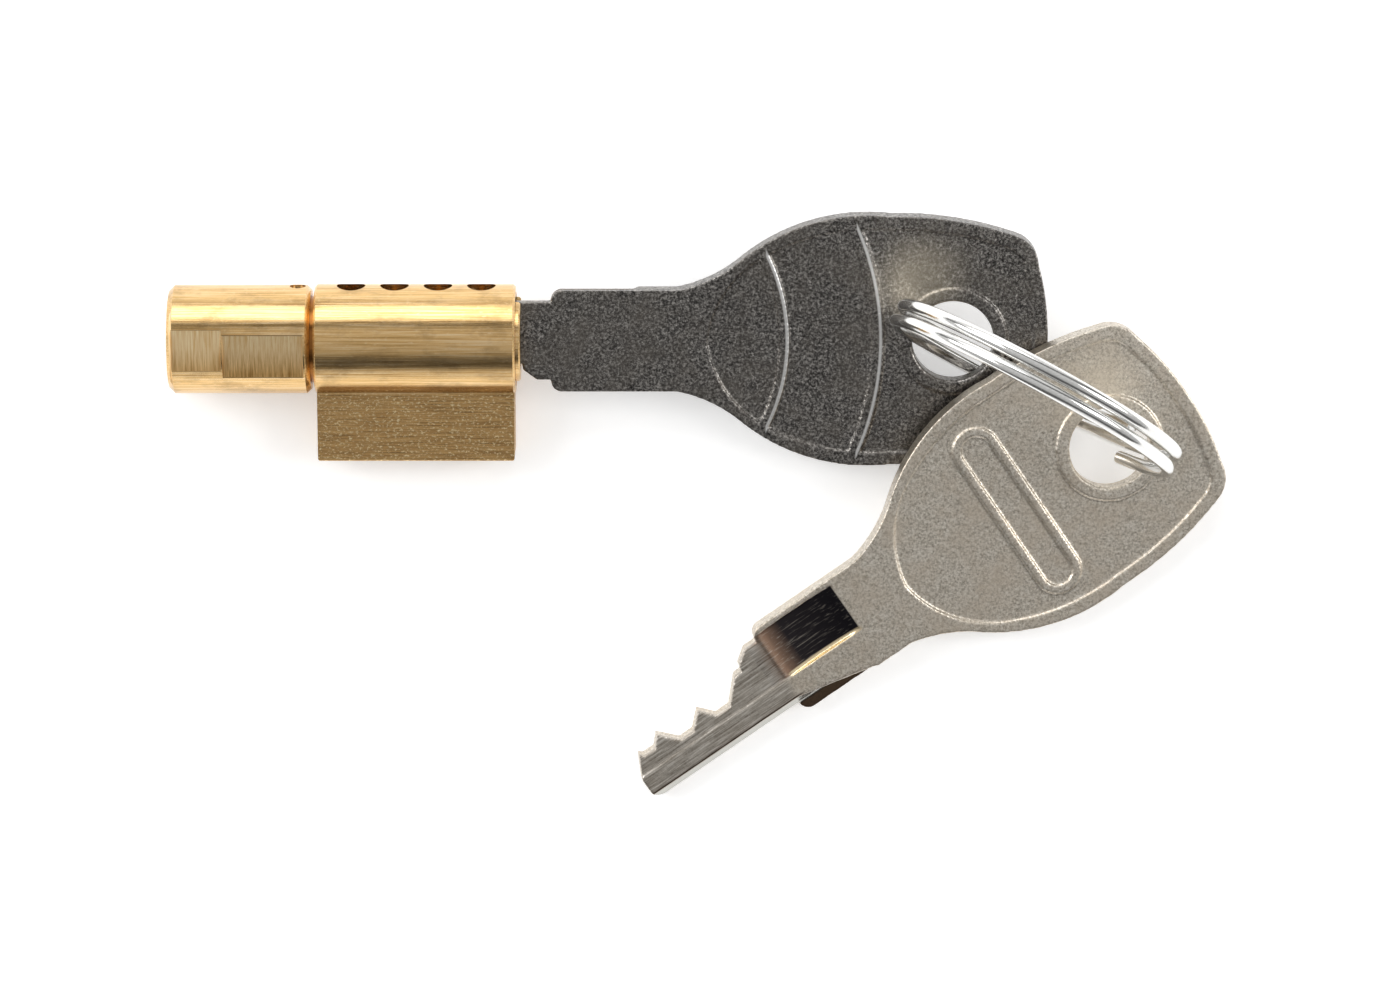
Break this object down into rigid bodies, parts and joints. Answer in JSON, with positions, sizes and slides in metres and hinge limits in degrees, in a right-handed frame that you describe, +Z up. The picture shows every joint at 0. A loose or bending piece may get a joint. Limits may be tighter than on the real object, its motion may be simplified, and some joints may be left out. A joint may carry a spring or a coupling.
{
  "type": "keyed window lock",
  "caption": "Profile lock cylinder for a window handle with a pinned rear coupling, its key in the plug and a spare key on a split ring.",
  "frame": {"origin": "on the barrel's axis at the housing's front face", "axes": "+X out of the keyway along the key, +Z up from the table that the lock and keys lie on"},
  "size_m": [0.0961, 0.0532, 0.0295],
  "materials": {
    "housing_brass": "drawn barrel, rough milled block",
    "turned_brass": "turned, bright",
    "pin_brass": "turned",
    "pin_steel": "ground",
    "spring_steel": "drawn wire",
    "key_nickel_dark": "tumbled nickel plate, dark",
    "key_nickel_light": "tumbled nickel plate, warm grey",
    "ring_steel": "bright plated wire"
  },
  "bodies": {
    "housing": {"housing": "housing_brass", "driver_spring_1": "spring_steel", "driver_spring_2": "spring_steel", "driver_spring_3": "spring_steel", "retaining_spring": "spring_steel"},
    "plug": {"plug": "turned_brass", "nose": "turned_brass", "nose_pin": "pin_steel"},
    "main_key": {"main_key": "key_nickel_dark"},
    "split_ring": {"split_ring": "ring_steel"},
    "spare_key": {"spare_key": "key_nickel_light"},
    "driver_1": {"driver_pin_1": "pin_steel"},
    "key_pin_1": {"key_pin_1": "pin_brass"},
    "driver_2": {"driver_pin_2": "pin_steel"},
    "key_pin_2": {"key_pin_2": "pin_brass"},
    "driver_3": {"driver_pin_3": "pin_steel"},
    "key_pin_3": {"key_pin_3": "pin_brass"},
    "retaining_pin": {"retaining_pin": "pin_steel"}
  },
  "joints": [
    {"name": "plug_turn", "type": "hinge", "parent": "housing", "child": "plug", "pos_m": [0, 0, 0], "axis": [1, 0, 0], "range_deg": [-90, 0]},
    {"name": "key_withdraw", "type": "slide", "parent": "plug", "child": "main_key", "axis": [1, 0, 0], "range_m": [0, 0.015]},
    {"name": "ring_swivel", "type": "hinge", "parent": "main_key", "child": "split_ring", "pos_m": [0.03843, -0.00017, -0.00005], "axis": [0, -0.2628, 0.9649], "range_deg": [-20, 8]},
    {"name": "spare_key_swing", "type": "hinge", "parent": "split_ring", "child": "spare_key", "pos_m": [0.05484, -0.00831, -0.00043], "axis": [0.1058, -0.233, 0.9667], "range_deg": [-30, 0]},
    {"name": "driver_1_slide", "type": "slide", "parent": "housing", "child": "driver_1", "axis": [0, -0.9649, -0.2628], "range_m": [0, 0.0008], "stiffness_N_per_m": 150, "deforming": ["driver_spring_1"]},
    {"name": "key_pin_1_lift", "type": "slide", "parent": "plug", "child": "key_pin_1", "axis": [0, 0.9649, 0.2628], "range_m": [0, 0.001]},
    {"name": "driver_2_slide", "type": "slide", "parent": "housing", "child": "driver_2", "axis": [0, -0.9649, -0.2628], "range_m": [0, 0.0008], "stiffness_N_per_m": 150, "deforming": ["driver_spring_2"]},
    {"name": "key_pin_2_lift", "type": "slide", "parent": "plug", "child": "key_pin_2", "axis": [0, 0.9649, 0.2628], "range_m": [0, 0.001]},
    {"name": "driver_3_slide", "type": "slide", "parent": "housing", "child": "driver_3", "axis": [0, -0.9649, -0.2628], "range_m": [0, 0.0008], "stiffness_N_per_m": 150, "deforming": ["driver_spring_3"]},
    {"name": "key_pin_3_lift", "type": "slide", "parent": "plug", "child": "key_pin_3", "axis": [0, 0.9649, 0.2628], "range_m": [0, 0.0006]},
    {"name": "retaining_pin_slide", "type": "slide", "parent": "housing", "child": "retaining_pin", "axis": [0, -0.9649, -0.2628], "range_m": [0, 0.0004], "stiffness_N_per_m": 150, "deforming": ["retaining_spring"]}
  ]
}
